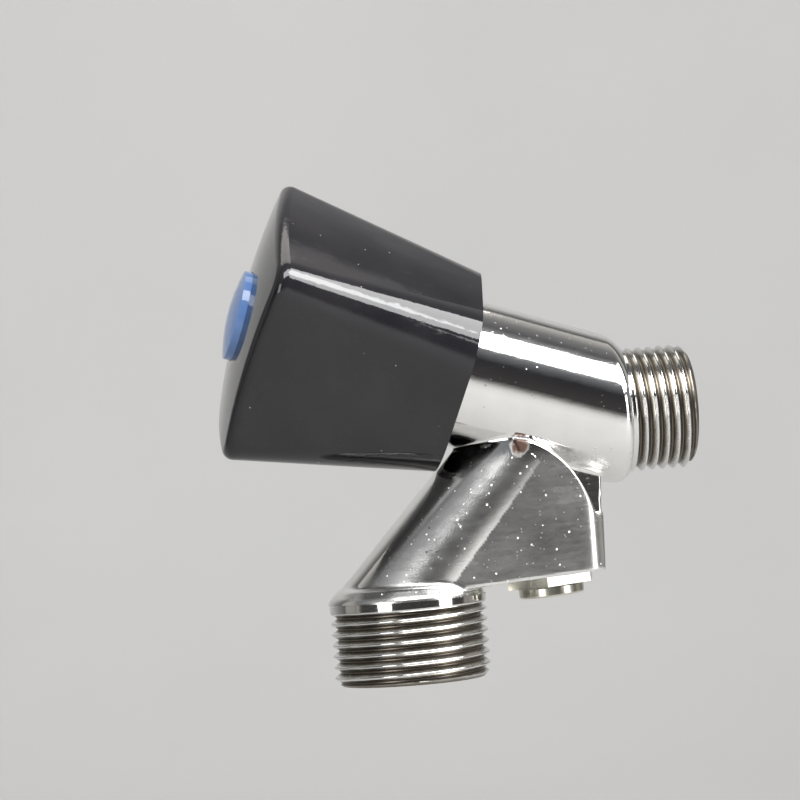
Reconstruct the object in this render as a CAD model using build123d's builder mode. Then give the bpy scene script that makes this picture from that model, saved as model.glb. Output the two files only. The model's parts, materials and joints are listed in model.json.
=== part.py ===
"""Washing-machine tap: inclined stop valve with a check plate, an air inlet and a big plastic handle.

Frame: origin at the centre of the inlet thread's shoulder, +X out along the inlet, +Z up, outlet down -Z.
The handle's axis leans back from the inlet axis. "Along" below means the distance from where the two axes
cross, measured along the handle's axis towards the handle. The valve is drawn fully open, its check plate
resting on the seat with no water flowing.
"""

from build123d import *
import math
import os

os.makedirs("parts", exist_ok=True)

# Pipe threads, 14 turns to the inch
PITCH = 25.4 / 14
THREAD_DEPTH = 1.162
CREST_LAND = 0.30
FLANK_RUN = (PITCH - 2 * CREST_LAND) / 2
INLET_R = 10.4775
INLET_RIDGES = 6
OUTLET_R = 13.2205
OUTLET_RIDGES = 7
THREAD_LEAD_IN = 0.45
INLET_LENGTH = THREAD_LEAD_IN + INLET_RIDGES * PITCH + 0.1
OUTLET_LENGTH = THREAD_LEAD_IN + OUTLET_RIDGES * PITCH + 0.1

# Handle axis
HANDLE_TILT = 18.6
CROSSING = Vector(-1.72, 0, 0)
ALONG = Vector(-math.cos(math.radians(HANDLE_TILT)), 0, math.sin(math.radians(HANDLE_TILT)))
ABOVE = Vector(math.sin(math.radians(HANDLE_TILT)), 0, math.cos(math.radians(HANDLE_TILT)))

# Body casting
ELBOW_R = 12.1
TUBE_END_R = 12.65
TUBE_END = 33.0
SHOULDER_CHAMFER = 1.1
INLET_BORE_R = 7.0
INLET_BORE_END = -6.0
SEAT_BORE_R = 5.5
SEAT_LIP_R = 6.9
CHAMBER_FLOOR = 9.0
SEAT_TOP = 10.8
CHAMBER_R = 9.32
BONNET_THREAD_START = 19.5
BONNET_THREAD_R = 10.5
HOUSING_HALF_WIDTH = 10.1
HOUSING_CORNER_R = 4.5
HOUSING_BACK = -6.2
HOUSING_BACK_HEAD = (-5.6, -17.0)
HOUSING_PLAN_BACK = -5.4
HOUSING_FOOT = -44.0
FLAT_FOOT = -37.4
WEB_HEAD = (-5.2, -8.0)
BASE_TILT = 3.2
BASE_BACK_Z = -26.2
ARCH_BACK = (-7.2, -17.0)
ARCH_HAUNCH = (-11.9, -7.9)
HOUSING_TOP = (-20.4, -3.3)
ARCH_FRONT = (-28.0, -6.4)
NECK_TOP = (-18.7, -7.87)
NECK_TILT = 47.1
NECK_TOP_R = 10.1
NECK_TAPER = 0.5
NECK_BORE_R = 6.5
NECK_BORE_START = -4.6
NECK_BORE_END = 31.0
OUTLET_X = -39.0
OUTLET_SHOULDER_Z = -29.3
COLLAR_RISE = 2.8
OUTLET_BORE_R = 9.5
OUTLET_BORE_TOP = -28.6

# Headwork, distances along the handle axis
VALVE_LIFT = 4.5
CHECK_LIFT = 2.0
RUN_GAP = 0.05
BONNET_START = 20.5
GASKET_THICK = 1.2
BONNET_COLLAR_R = 12.3
BONNET_COLLAR_THICK = 2.0
BONNET_HEX_AF = 21.0
BONNET_HEX_END = 42.0
BONNET_NECK_R = 7.4
BONNET_END = 45.2
GUIDE_R = 7.6
GUIDE_FLAT = 6.3
GUIDE_FLAT_START = 25.8
GUIDE_END = 36.55
SPINDLE_R = 5.0
SPINDLE_THREAD_R = 4.0
SPINDLE_START = 26.2
SPINDLE_COLLAR_START = 34.9
SPINDLE_COLLAR_END = 36.0
SPINDLE_COLLAR_R = 6.2
SPINDLE_END = 57.5
GROOVE_R = 3.85
GROOVE_WIDTH = 1.5
GROOVE_STARTS = (38.4, 41.8)
THRUST_WASHER_THICK = 0.5
CIRCLIP_START = 45.35
CIRCLIP_THICK = 1.0
CIRCLIP_GROOVE_R = 4.15
CIRCLIP_R = 6.6
CIRCLIP_GAP = 3.4
SPLINE_START = 47.8
SPLINE_TEETH = 20
SPLINE_TIP_R = 4.0
SPLINE_ROOT_R = 3.5

# Check plate and piston
WASHER_R = 7.0
WASHER_THICK = 2.5
WASHER_HOLE_R = 1.6
WASHER_DISC_R = 4.2
WASHER_DISC_THICK = 0.6
WASHER_SCREW_R = 1.5
WASHER_SCREW_GRIP = 4.5
WASHER_SCREW_HEAD_R = 2.8
WASHER_SCREW_HEAD = 2.0
PLATE_RIM_R = 8.2
PLATE_TOP = SEAT_TOP + WASHER_THICK + 1.7
STEM_R = 3.0
STEM_LENGTH = 8.5
PISTON_START = PLATE_TOP + VALVE_LIFT + CHECK_LIFT
PISTON_LENGTH = 13.0
PISTON_ROUND_LENGTH = 4.0
SPRING_POCKET_R = 5.0
SPRING_POCKET_DEPTH = 4.5
SPRING_R = 4.2
SPRING_WIRE_R = 0.3
SPRING_TURNS = 10

# Handle
KNOB_REAR = 27.3
KNOB_RIM = 62.7
KNOB_CROWN = 65.2
KNOB_TURN = -29.0
KNOB_REAR_HALF = 14.9
KNOB_REAR_CORNER_R = 9.0
KNOB_FRONT_HALF = 18.6
KNOB_FRONT_CORNER_R = 4.6
KNOB_REAR_BULGE = 0.3
KNOB_FRONT_BULGE = 0.9
KNOB_DOME_R = 128.0
KNOB_RIM_ROUNDING = 1.8
KNOB_WALL = 1.6
KNOB_CAVITY_END = 59.7
BOSS_R = 6.6
BOSS_START = 48.1
SPLINE_SOCKET_END = 57.7
RIB_THICK = 1.6
RIB_START = 52.0
SCREW_SEAT = 59.7
SCREW_WASHER_THICK = 0.6
SCREW_WASHER_R = 4.6
SCREW_HEAD_THICK = 2.2
SCREW_POCKET_R = 5.5
SCREW_HEAD_R = 3.6
SCREW_R = 2.0
SCREW_LENGTH = 7.5
CAP_R = 7.6
CAP_SEAT = 63.6
CAP_EDGE = 66.2
CAP_CROWN = 67.2
CAP_SKIRT_R = 5.3
CAP_SKIRT_WALL = 0.6
CAP_SKIRT_LENGTH = 2.7

# Air inlet under the housing, distances down from the housing's base
AIR_X = -14.5
AIR_HOLE_R = 4.9
AIR_HOLE_DEPTH = 11.0
O_RING_SEAT_R = 6.05
O_RING_SEAT_DEPTH = 1.15
O_RING_CORD_R = 0.55
PLUG_HEX_AF = 14.0
PLUG_TURN = 13.0
PLUG_HEX_START = 0.05
PLUG_HEX_END = 1.7
PLUG_R = 4.85
PLUG_TOP = -6.2
PLUG_SEAT = -6.5
PLUG_SEAT_R = 2.2
PLUG_HOLE_R = 1.6
PLUG_MOUTH_R = 2.4
PLUG_MOUTH_TOP = -4.4
AIR_CAP_R = 5.5
AIR_CAP_START = 2.0
AIR_CAP_END = 3.55
AIR_CAP_STEM_R = 1.3
AIR_CAP_STEM_TOP = -1.6
AIR_CAP_FIN = (4.7, 0.7)
FLOAT_R = 3.4
FLOAT_STEM_R = 1.05
FLOAT_STEM_END = -3.0
FLOAT_FOOT = -7.3
FLOAT_TOP = -8.5
CAGE_R = 4.75
CAGE_BORE_R = 3.85
CAGE_CROWN_R = 1.8
CAGE_TOP = -10.7
CAGE_WINDOW = (12.0, 2.6)
CAGE_WINDOW_START = -7.2


def handle_plane(along=0.0):
    """A plane square to the handle axis, with x up and y away from the viewer's side."""
    return Plane(origin=CROSSING + ALONG * along, x_dir=ABOVE, z_dir=ALONG)


def base_z(x):
    """Height of the housing's sloping base at x."""
    return BASE_BACK_Z + (x - HOUSING_BACK) * math.tan(math.radians(BASE_TILT))


DOWN = Vector(math.sin(math.radians(BASE_TILT)), 0, -math.cos(math.radians(BASE_TILT)))
AIR_PLANE = Plane(origin=(AIR_X, 0, base_z(AIR_X)), x_dir=(0, 1, 0), z_dir=DOWN)
INLET_PLANE = Plane(origin=(0, 0, 0), x_dir=(0, 1, 0), z_dir=(1, 0, 0))
OUTLET_PLANE = Plane(origin=(OUTLET_X, 0, OUTLET_SHOULDER_Z), x_dir=(1, 0, 0), z_dir=(0, 0, -1))
NECK_DOWN = Vector(-math.cos(math.radians(NECK_TILT)), 0, -math.sin(math.radians(NECK_TILT)))


def turned(plane, angle):
    """The same plane, turned about its own z axis."""
    turn_by = math.radians(angle)
    x_dir = plane.x_dir * math.cos(turn_by) + plane.y_dir * math.sin(turn_by)
    return Plane(origin=plane.origin, x_dir=x_dir, z_dir=plane.z_dir)


def turn(outline, plane, mode=Mode.ADD):
    """Revolves an outline of (radius, height) points about the plane's z axis."""
    meridian = Plane(origin=plane.origin, x_dir=plane.x_dir, z_dir=-plane.y_dir)
    with BuildSketch(meridian) as section:
        with BuildLine():
            Polyline(*outline, close=True)
        make_face()
    revolve(section.sketch, axis=Axis(plane.origin, plane.z_dir), mode=mode)


def ring(inner_r, outer_r, start, end):
    """Outline of a plain ring or, with an inner radius of 0, a disc."""
    return [(inner_r, start), (outer_r, start), (outer_r, end), (inner_r, end)]


def round_bar(plane, radius, start, end, mode=Mode.ADD):
    """A cylinder along the plane's z axis."""
    turn(ring(0, radius, start, end), plane, mode)


def threaded_spigot(major_r, ridges, length, buried):
    """Outline of a male pipe thread drawn as rings: a full-size land at the shoulder, then the ridges."""
    minor_r = major_r - THREAD_DEPTH
    points = [(0, -buried), (major_r, -buried), (major_r, THREAD_LEAD_IN), (minor_r, THREAD_LEAD_IN + 0.1)]
    for number in range(ridges):
        foot = THREAD_LEAD_IN + number * PITCH + CREST_LAND / 2
        crest = foot + FLANK_RUN
        points += [(minor_r, foot), (major_r, crest), (major_r, crest + CREST_LAND)]
        points.append((minor_r, crest + CREST_LAND + FLANK_RUN))
    return points + [(minor_r, length), (0, length)]


def star(tip_r, root_r, teeth):
    """Points of a spline section, a tooth tip and a root in turn."""
    step = math.pi / teeth
    return [
        (radius * math.cos(k * step), radius * math.sin(k * step))
        for k in range(2 * teeth)
        for radius in [tip_r if k % 2 == 0 else root_r]
    ]


def finish(piece, name):
    """Labels a piece and writes its file."""
    piece.part.label = name
    export_step(piece.part, f"parts/{name}.step")


# --- Body casting: inclined tube, inlet elbow, flat-sided housing, sloping neck and two threads ---

with BuildPart() as housing:
    with BuildSketch(Plane.XZ):
        with BuildLine():
            back_foot = (HOUSING_BACK, base_z(HOUSING_BACK))
            neck_foot = (HOUSING_FOOT, base_z(HOUSING_FOOT))
            Polyline(neck_foot, back_foot, HOUSING_BACK_HEAD, ARCH_BACK)
            Spline(ARCH_BACK, ARCH_HAUNCH, HOUSING_TOP, ARCH_FRONT)
            Line(ARCH_FRONT, neck_foot)
        make_face()
    extrude(amount=HOUSING_HALF_WIDTH, both=True)
    # Rounds the two upright corners at the back
    plan_length = 60
    with BuildSketch(Plane.XY.offset(-40)):
        with Locations((HOUSING_PLAN_BACK - plan_length / 2, 0)):
            RectangleRounded(plan_length, 2 * HOUSING_HALF_WIDTH, HOUSING_CORNER_R)
    extrude(amount=60, mode=Mode.INTERSECT)
    # Ends the flat sides along the neck's axis, where the neck's half-round takes over
    with BuildSketch(Plane.XZ):
        with BuildLine():
            far = -60
            flat_foot = (FLAT_FOOT, base_z(FLAT_FOOT))
            Polyline((HOUSING_TOP[0], 0), HOUSING_TOP, NECK_TOP, flat_foot)
            Polyline(flat_foot, (FLAT_FOOT, far), (far, far), (far, 0), (HOUSING_TOP[0], 0))
        make_face()
    extrude(amount=2 * HOUSING_HALF_WIDTH, both=True, mode=Mode.SUBTRACT)

with BuildPart() as neck:
    neck_plane = Plane(origin=(NECK_TOP[0], 0, NECK_TOP[1]), x_dir=(0, 1, 0), z_dir=NECK_DOWN)
    neck_start = -2.2
    neck_end = 45.0
    neck_end_r = NECK_TOP_R + neck_end * math.tan(math.radians(NECK_TAPER))
    turn([(0, neck_start), (NECK_TOP_R, neck_start), (neck_end_r, neck_end), (0, neck_end)], neck_plane)
    # Cut off level with the housing's base
    with BuildSketch(Plane(origin=(OUTLET_X, 0, base_z(OUTLET_X)), x_dir=(0, 1, 0), z_dir=DOWN)):
        Rectangle(120, 120)
    extrude(amount=60, mode=Mode.SUBTRACT)

with BuildPart() as valve_body:
    handle_meridian = Plane(origin=CROSSING, x_dir=ABOVE, z_dir=(0, -1, 0))
    with BuildSketch(handle_meridian):
        with BuildLine():
            Line((0, TUBE_END), (TUBE_END_R, TUBE_END))
            Line((TUBE_END_R, TUBE_END), (ELBOW_R, 0))
            CenterArc((0, 0), ELBOW_R, 0, -90)
            Line((0, -ELBOW_R), (0, TUBE_END))
        make_face()
    revolve(axis=Axis(CROSSING, ALONG))
    # Shoulder of the inlet, cut square and chamfered
    with BuildSketch(INLET_PLANE):
        Rectangle(60, 60)
    extrude(amount=30, mode=Mode.SUBTRACT)
    chamfer_outer = ELBOW_R + 2
    turn(
        [(ELBOW_R - SHOULDER_CHAMFER, 0.1), (chamfer_outer, 0.1), (chamfer_outer, -SHOULDER_CHAMFER - 2)],
        INLET_PLANE,
        Mode.SUBTRACT,
    )
    add(housing.part)
    add(neck.part)
    # Flat web up the middle of the housing's back, between its rounded corners
    with BuildSketch(Plane.XZ):
        with BuildLine():
            web_front = HOUSING_BACK - 8
            web_foot = (HOUSING_BACK, base_z(HOUSING_BACK))
            Polyline(web_foot, WEB_HEAD, (web_front, WEB_HEAD[1]), (web_front, base_z(web_front)), close=True)
        make_face()
    extrude(amount=HOUSING_HALF_WIDTH - HOUSING_CORNER_R, both=True)
    turn(threaded_spigot(INLET_R, INLET_RIDGES, INLET_LENGTH, 2), INLET_PLANE)
    collar_r = OUTLET_R - 0.1
    turn(
        [(0, -COLLAR_RISE), (collar_r - 1.2, -COLLAR_RISE), (collar_r, -1.2), (collar_r, 0), (0, 0)],
        OUTLET_PLANE,
    )
    turn(threaded_spigot(OUTLET_R, OUTLET_RIDGES, OUTLET_LENGTH, 1), OUTLET_PLANE)
    # Waterways: inlet bore, seat bore, chamber with its seat lip, neck bore, outlet bore
    handle = handle_plane()
    round_bar(INLET_PLANE, INLET_BORE_R, INLET_BORE_END, INLET_LENGTH + 1, Mode.SUBTRACT)
    round_bar(handle, SEAT_BORE_R, 0, SEAT_TOP + 1, Mode.SUBTRACT)
    turn(
        [
            (SEAT_LIP_R, CHAMBER_FLOOR),
            (CHAMBER_R, CHAMBER_FLOOR),
            (CHAMBER_R, BONNET_THREAD_START),
            (BONNET_THREAD_R, BONNET_THREAD_START),
            (BONNET_THREAD_R, TUBE_END + 1),
            (0, TUBE_END + 1),
            (0, SEAT_TOP),
            (SEAT_LIP_R, SEAT_TOP),
        ],
        handle,
        Mode.SUBTRACT,
    )
    round_bar(neck_plane, NECK_BORE_R, NECK_BORE_START, NECK_BORE_END, Mode.SUBTRACT)
    outlet_rise = OUTLET_BORE_TOP - OUTLET_SHOULDER_Z
    round_bar(OUTLET_PLANE, OUTLET_BORE_R, -outlet_rise, OUTLET_LENGTH + 1, Mode.SUBTRACT)
    round_bar(AIR_PLANE, AIR_HOLE_R, -AIR_HOLE_DEPTH, 1, Mode.SUBTRACT)
    turn(ring(0, O_RING_SEAT_R, -O_RING_SEAT_DEPTH, 1), AIR_PLANE, Mode.SUBTRACT)
finish(valve_body, "valve_body")

# --- Headwork ---

collar_start = TUBE_END + GASKET_THICK
collar_end = collar_start + BONNET_COLLAR_THICK
with BuildPart() as bonnet:
    turn(
        [
            (0, BONNET_START),
            (BONNET_THREAD_R - RUN_GAP, BONNET_START),
            (BONNET_THREAD_R - RUN_GAP, collar_start),
            (BONNET_COLLAR_R, collar_start),
            (BONNET_COLLAR_R, collar_end),
            (BONNET_NECK_R, collar_end),
            (BONNET_NECK_R, BONNET_END),
            (0, BONNET_END),
        ],
        handle,
    )
    with BuildSketch(handle_plane(collar_end)):
        RegularPolygon(BONNET_HEX_AF / 2, 6, major_radius=False)
    extrude(amount=BONNET_HEX_END - collar_end)
    round_bar(handle, GUIDE_R, BONNET_START - 1, GUIDE_FLAT_START, Mode.SUBTRACT)
    with BuildSketch(handle_plane(GUIDE_FLAT_START)):
        Circle(GUIDE_R)
        Rectangle(2 * GUIDE_R, 2 * GUIDE_FLAT, mode=Mode.INTERSECT)
    extrude(amount=GUIDE_END - GUIDE_FLAT_START, mode=Mode.SUBTRACT)
    round_bar(handle, SPINDLE_R + RUN_GAP, GUIDE_END, BONNET_END + 1, Mode.SUBTRACT)
finish(bonnet, "bonnet")

with BuildPart() as bonnet_gasket:
    turn(ring(BONNET_THREAD_R + 0.05, TUBE_END_R - 0.2, TUBE_END, collar_start), handle)
finish(bonnet_gasket, "bonnet_gasket")

with BuildPart() as spindle:
    groove_points = []
    for start in GROOVE_STARTS:
        groove_points += [(SPINDLE_R, start), (GROOVE_R, start)]
        groove_points += [(GROOVE_R, start + GROOVE_WIDTH), (SPINDLE_R, start + GROOVE_WIDTH)]
    turn(
        [
            (0, SPINDLE_START),
            (SPINDLE_THREAD_R - 0.5, SPINDLE_START),
            (SPINDLE_THREAD_R, SPINDLE_START + 0.5),
            (SPINDLE_THREAD_R, SPINDLE_COLLAR_START),
            (SPINDLE_COLLAR_R, SPINDLE_COLLAR_START),
            (SPINDLE_COLLAR_R, SPINDLE_COLLAR_END),
            (SPINDLE_R, SPINDLE_COLLAR_END),
            *groove_points,
            (SPINDLE_R, CIRCLIP_START),
            (CIRCLIP_GROOVE_R, CIRCLIP_START),
            (CIRCLIP_GROOVE_R, CIRCLIP_START + CIRCLIP_THICK),
            (SPINDLE_R, CIRCLIP_START + CIRCLIP_THICK),
            (SPINDLE_R, SPLINE_START - 0.6),
            (SPLINE_ROOT_R, SPLINE_START),
            (0, SPLINE_START),
        ],
        handle,
    )
    with BuildSketch(handle_plane(SPLINE_START)):
        with BuildLine():
            Polyline(*star(SPLINE_TIP_R, SPLINE_ROOT_R, SPLINE_TEETH), close=True)
        make_face()
    extrude(amount=SPINDLE_END - SPLINE_START)
    round_bar(handle, SCREW_R + RUN_GAP, SPINDLE_END - SCREW_LENGTH - 1, SPINDLE_END + 1, Mode.SUBTRACT)
finish(spindle, "spindle")

with BuildPart() as spindle_thrust_washer:
    washer_end = SPINDLE_COLLAR_END + THRUST_WASHER_THICK
    turn(ring(SPINDLE_R + 0.1, SPINDLE_COLLAR_R - 0.05, SPINDLE_COLLAR_END, washer_end), handle)
finish(spindle_thrust_washer, "spindle_thrust_washer")

with BuildPart() as spindle_o_rings:
    cord_r = (SPINDLE_R - GROOVE_R) / 2 + 0.01
    for start in GROOVE_STARTS:
        with BuildSketch(handle_meridian):
            with Locations((GROOVE_R + 0.01 + cord_r, start + GROOVE_WIDTH / 2)):
                Circle(cord_r)
        revolve(axis=Axis(CROSSING, ALONG))
finish(spindle_o_rings, "spindle_o_rings")

with BuildPart() as spindle_circlip:
    with BuildSketch(handle_plane(CIRCLIP_START + 0.05)):
        Circle(CIRCLIP_R)
        Circle(CIRCLIP_GROOVE_R + 0.03, mode=Mode.SUBTRACT)
        with Locations((-CIRCLIP_R, 0)):
            Rectangle(2 * CIRCLIP_R, CIRCLIP_GAP, mode=Mode.SUBTRACT)
    extrude(amount=CIRCLIP_THICK - 0.1)
finish(spindle_circlip, "spindle_circlip")

with BuildPart() as lift_piston:
    piston_flats = PISTON_START + PISTON_ROUND_LENGTH
    piston_end = PISTON_START + PISTON_LENGTH
    round_bar(handle, GUIDE_R - RUN_GAP, PISTON_START, piston_flats)
    with BuildSketch(handle_plane(piston_flats)):
        Circle(GUIDE_R - RUN_GAP)
        Rectangle(2 * GUIDE_R, 2 * (GUIDE_FLAT - RUN_GAP), mode=Mode.INTERSECT)
    extrude(amount=PISTON_LENGTH - PISTON_ROUND_LENGTH)
    pocket_end = PISTON_START + SPRING_POCKET_DEPTH
    round_bar(handle, SPRING_POCKET_R, PISTON_START - 1, pocket_end, Mode.SUBTRACT)
    round_bar(handle, SPINDLE_THREAD_R + RUN_GAP, pocket_end - 1, piston_end + 1, Mode.SUBTRACT)
finish(lift_piston, "lift_piston")

# --- Check plate, pressed to its seat by a spring and free of the piston when the valve is open ---

with BuildPart() as check_plate:
    rim_foot = SEAT_TOP + 0.9
    washer_top = SEAT_TOP + WASHER_THICK
    turn(
        [
            (0, washer_top),
            (WASHER_R + 0.05, washer_top),
            (WASHER_R + 0.05, rim_foot),
            (PLATE_RIM_R, rim_foot),
            (PLATE_RIM_R, PLATE_TOP - 0.5),
            (PLATE_RIM_R - 0.5, PLATE_TOP),
            (STEM_R, PLATE_TOP),
            (STEM_R, PLATE_TOP + STEM_LENGTH - 0.6),
            (STEM_R - 0.6, PLATE_TOP + STEM_LENGTH),
            (0, PLATE_TOP + STEM_LENGTH),
        ],
        handle,
    )
    round_bar(handle, WASHER_SCREW_R, washer_top - 1, washer_top + WASHER_SCREW_GRIP + 0.5, Mode.SUBTRACT)
finish(check_plate, "check_plate")

with BuildPart() as seat_washer:
    turn(ring(WASHER_HOLE_R, WASHER_R, SEAT_TOP, washer_top), handle)
finish(seat_washer, "seat_washer")

with BuildPart() as washer_disc:
    turn(ring(WASHER_HOLE_R, WASHER_DISC_R, SEAT_TOP - WASHER_DISC_THICK, SEAT_TOP), handle)
finish(washer_disc, "washer_disc")

with BuildPart() as washer_screw:
    head_top = SEAT_TOP - WASHER_DISC_THICK
    head_foot = head_top - WASHER_SCREW_HEAD
    edge_break = 0.25
    turn(
        [
            (0, head_foot),
            (WASHER_SCREW_HEAD_R - edge_break, head_foot),
            (WASHER_SCREW_HEAD_R, head_foot + edge_break),
            (WASHER_SCREW_HEAD_R, head_top),
            (0, head_top),
        ],
        handle,
    )
    round_bar(handle, WASHER_SCREW_R - 0.03, head_top, washer_top + WASHER_SCREW_GRIP)
    with BuildSketch(handle_plane(head_foot)):
        Rectangle(2 * WASHER_SCREW_HEAD_R + 1, 0.8)
    extrude(amount=WASHER_SCREW_HEAD / 2, mode=Mode.SUBTRACT)
finish(washer_screw, "washer_screw")

with BuildPart() as check_spring:
    coil_start = PLATE_TOP + SPRING_WIRE_R + 0.05
    coil_height = pocket_end - PLATE_TOP - 2 * SPRING_WIRE_R - 0.1
    with BuildLine() as coil:
        Helix(coil_height / SPRING_TURNS, coil_height, SPRING_R, CROSSING + ALONG * coil_start, ALONG)
    with BuildSketch(Plane(origin=coil.line @ 0, z_dir=coil.line % 0)):
        Circle(SPRING_WIRE_R)
    sweep(path=coil.line, is_frenet=True)
finish(check_spring, "check_spring")

# --- Handle: a hollow four-sided knob that widens to a crowned front ---


def knob_section(along, half_side, corner_r, bulge):
    """A four-sided section: bowed sides that run tangent into round corners."""
    side_r = (half_side**2 + bulge**2) / (2 * bulge)
    side_centre = half_side + bulge - side_r
    reach = side_r - corner_r
    corner_centre = (side_centre + math.sqrt(2 * reach**2 - side_centre**2)) / 2
    share = side_r / reach
    far = side_centre + share * (corner_centre - side_centre)
    near = share * corner_centre
    tip = corner_centre + corner_r / math.sqrt(2)
    with BuildSketch(turned(handle_plane(along), KNOB_TURN)) as section:
        with BuildLine():
            for angle in (0, 90, 180, 270):
                side = [(far, -near), (half_side + bulge, 0), (far, near)]
                corner = [(far, near), (tip, tip), (near, far)]
                for arc in (side, corner):
                    ThreePointArc(*[Vector(*point).rotate(Axis.Z, angle) for point in arc])
        make_face()
    return section.sketch


def knob_taper(start, end, inset):
    """The knob's sections at two distances, inset from its outside."""
    sections = []
    for along in (start, end):
        share = (along - KNOB_REAR) / (KNOB_RIM - KNOB_REAR)
        half = KNOB_REAR_HALF + share * (KNOB_FRONT_HALF - KNOB_REAR_HALF) - inset
        corner = KNOB_REAR_CORNER_R + share * (KNOB_FRONT_CORNER_R - KNOB_REAR_CORNER_R)
        bulge = KNOB_REAR_BULGE + share * (KNOB_FRONT_BULGE - KNOB_REAR_BULGE)
        sections.append(knob_section(along, half, max(corner - inset, 1.5), bulge))
    return sections


with BuildPart() as knob_dome:
    with Locations(CROSSING + ALONG * (KNOB_CROWN - KNOB_DOME_R)):
        Sphere(KNOB_DOME_R)

with BuildPart() as handle_knob:
    loft(knob_taper(KNOB_REAR, KNOB_CROWN + 1, 0), ruled=True)
    add(knob_dome.part, mode=Mode.INTERSECT)
    crown_face = handle_knob.faces().sort_by(Axis(CROSSING, ALONG))[-1]
    fillet(crown_face.edges(), KNOB_RIM_ROUNDING)
    loft(knob_taper(KNOB_REAR - 1, KNOB_CAVITY_END, KNOB_WALL), ruled=True, mode=Mode.SUBTRACT)
    round_bar(handle, BOSS_R, BOSS_START, KNOB_CAVITY_END + 0.5)
    for angle in (0, 90):
        with BuildSketch(turned(handle_plane(RIB_START), KNOB_TURN + angle)):
            Rectangle(2 * KNOB_REAR_HALF + 1, RIB_THICK)
        extrude(amount=KNOB_CAVITY_END - RIB_START + 0.5)
    with BuildSketch(handle_plane(BOSS_START - 1)):
        with BuildLine():
            Polyline(*star(SPLINE_TIP_R + RUN_GAP, SPLINE_ROOT_R + RUN_GAP, SPLINE_TEETH), close=True)
        make_face()
    extrude(amount=SPLINE_SOCKET_END - BOSS_START + 1, mode=Mode.SUBTRACT)
    round_bar(handle, SCREW_R + 0.15, SPLINE_SOCKET_END - 1, SCREW_SEAT + 1, Mode.SUBTRACT)
    round_bar(handle, SCREW_POCKET_R, SCREW_SEAT, KNOB_CROWN + 1, Mode.SUBTRACT)
    round_bar(handle, CAP_R + 0.1, CAP_SEAT, KNOB_CROWN + 1, Mode.SUBTRACT)
finish(handle_knob, "handle_knob")

with BuildPart() as handle_screw:
    screw_head = SCREW_SEAT + SCREW_WASHER_THICK
    round_bar(handle, SCREW_R, SPINDLE_END - SCREW_LENGTH, screw_head)
    round_bar(handle, SCREW_HEAD_R, screw_head, screw_head + SCREW_HEAD_THICK)
    # Cross recess
    for angle in (0, 90):
        with BuildSketch(turned(handle_plane(screw_head + SCREW_HEAD_THICK), angle)):
            Rectangle(2 * SCREW_R, 0.9)
        extrude(amount=-1.2, mode=Mode.SUBTRACT)
finish(handle_screw, "handle_screw")

with BuildPart() as handle_screw_washer:
    turn(ring(SCREW_R + 0.1, SCREW_WASHER_R, SCREW_SEAT, SCREW_SEAT + SCREW_WASHER_THICK), handle)
finish(handle_screw_washer, "handle_screw_washer")

with BuildPart() as index_cap:
    with BuildSketch(handle_meridian):
        with BuildLine():
            edge = (CAP_R, CAP_EDGE)
            cap_rise = CAP_CROWN - CAP_EDGE
            cap_dome_r = (CAP_R**2 + cap_rise**2) / (2 * cap_rise)
            halfway = CAP_CROWN - cap_dome_r + math.sqrt(cap_dome_r**2 - (CAP_R / 2) ** 2)
            ThreePointArc((0, CAP_CROWN), (CAP_R / 2, halfway), edge)
            skirt_end = CAP_SEAT - CAP_SKIRT_LENGTH
            skirt_bore = CAP_SKIRT_R - CAP_SKIRT_WALL
            underside = CAP_SEAT + 0.3
            Polyline(edge, (CAP_R, CAP_SEAT), (CAP_SKIRT_R, CAP_SEAT), (CAP_SKIRT_R, skirt_end))
            Polyline((CAP_SKIRT_R, skirt_end), (skirt_bore, skirt_end), (skirt_bore, underside))
            Polyline((skirt_bore, underside), (0, underside), (0, CAP_CROWN))
        make_face()
    revolve(axis=Axis(CROSSING, ALONG))
finish(index_cap, "index_cap")

# --- Air inlet: a drilled hex plug, a floating seal in a cage, and a round cap over the hole ---

with BuildPart() as air_plug:
    with BuildSketch(turned(AIR_PLANE.offset(PLUG_HEX_START), PLUG_TURN)):
        RegularPolygon(PLUG_HEX_AF / 2, 6, major_radius=False)
    extrude(amount=PLUG_HEX_END - PLUG_HEX_START)
    turn(
        [
            (0, PLUG_HEX_START),
            (PLUG_R, PLUG_HEX_START),
            (PLUG_R, PLUG_TOP),
            (PLUG_SEAT_R, PLUG_TOP),
            (PLUG_SEAT_R - 0.2, PLUG_SEAT),
            (0, PLUG_SEAT),
        ],
        AIR_PLANE,
    )
    round_bar(AIR_PLANE, PLUG_HOLE_R, PLUG_SEAT - 1, 0, Mode.SUBTRACT)
    round_bar(AIR_PLANE, PLUG_MOUTH_R, PLUG_MOUTH_TOP, PLUG_HEX_END + 1, Mode.SUBTRACT)
finish(air_plug, "air_plug")

with BuildPart() as air_plug_o_ring:
    with BuildSketch(Plane(origin=AIR_PLANE.origin, x_dir=AIR_PLANE.x_dir, z_dir=-AIR_PLANE.y_dir)):
        with Locations((AIR_HOLE_R + O_RING_CORD_R, -O_RING_CORD_R)):
            Circle(O_RING_CORD_R)
    revolve(axis=Axis(AIR_PLANE.origin, DOWN))
finish(air_plug_o_ring, "air_plug_o_ring")

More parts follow.
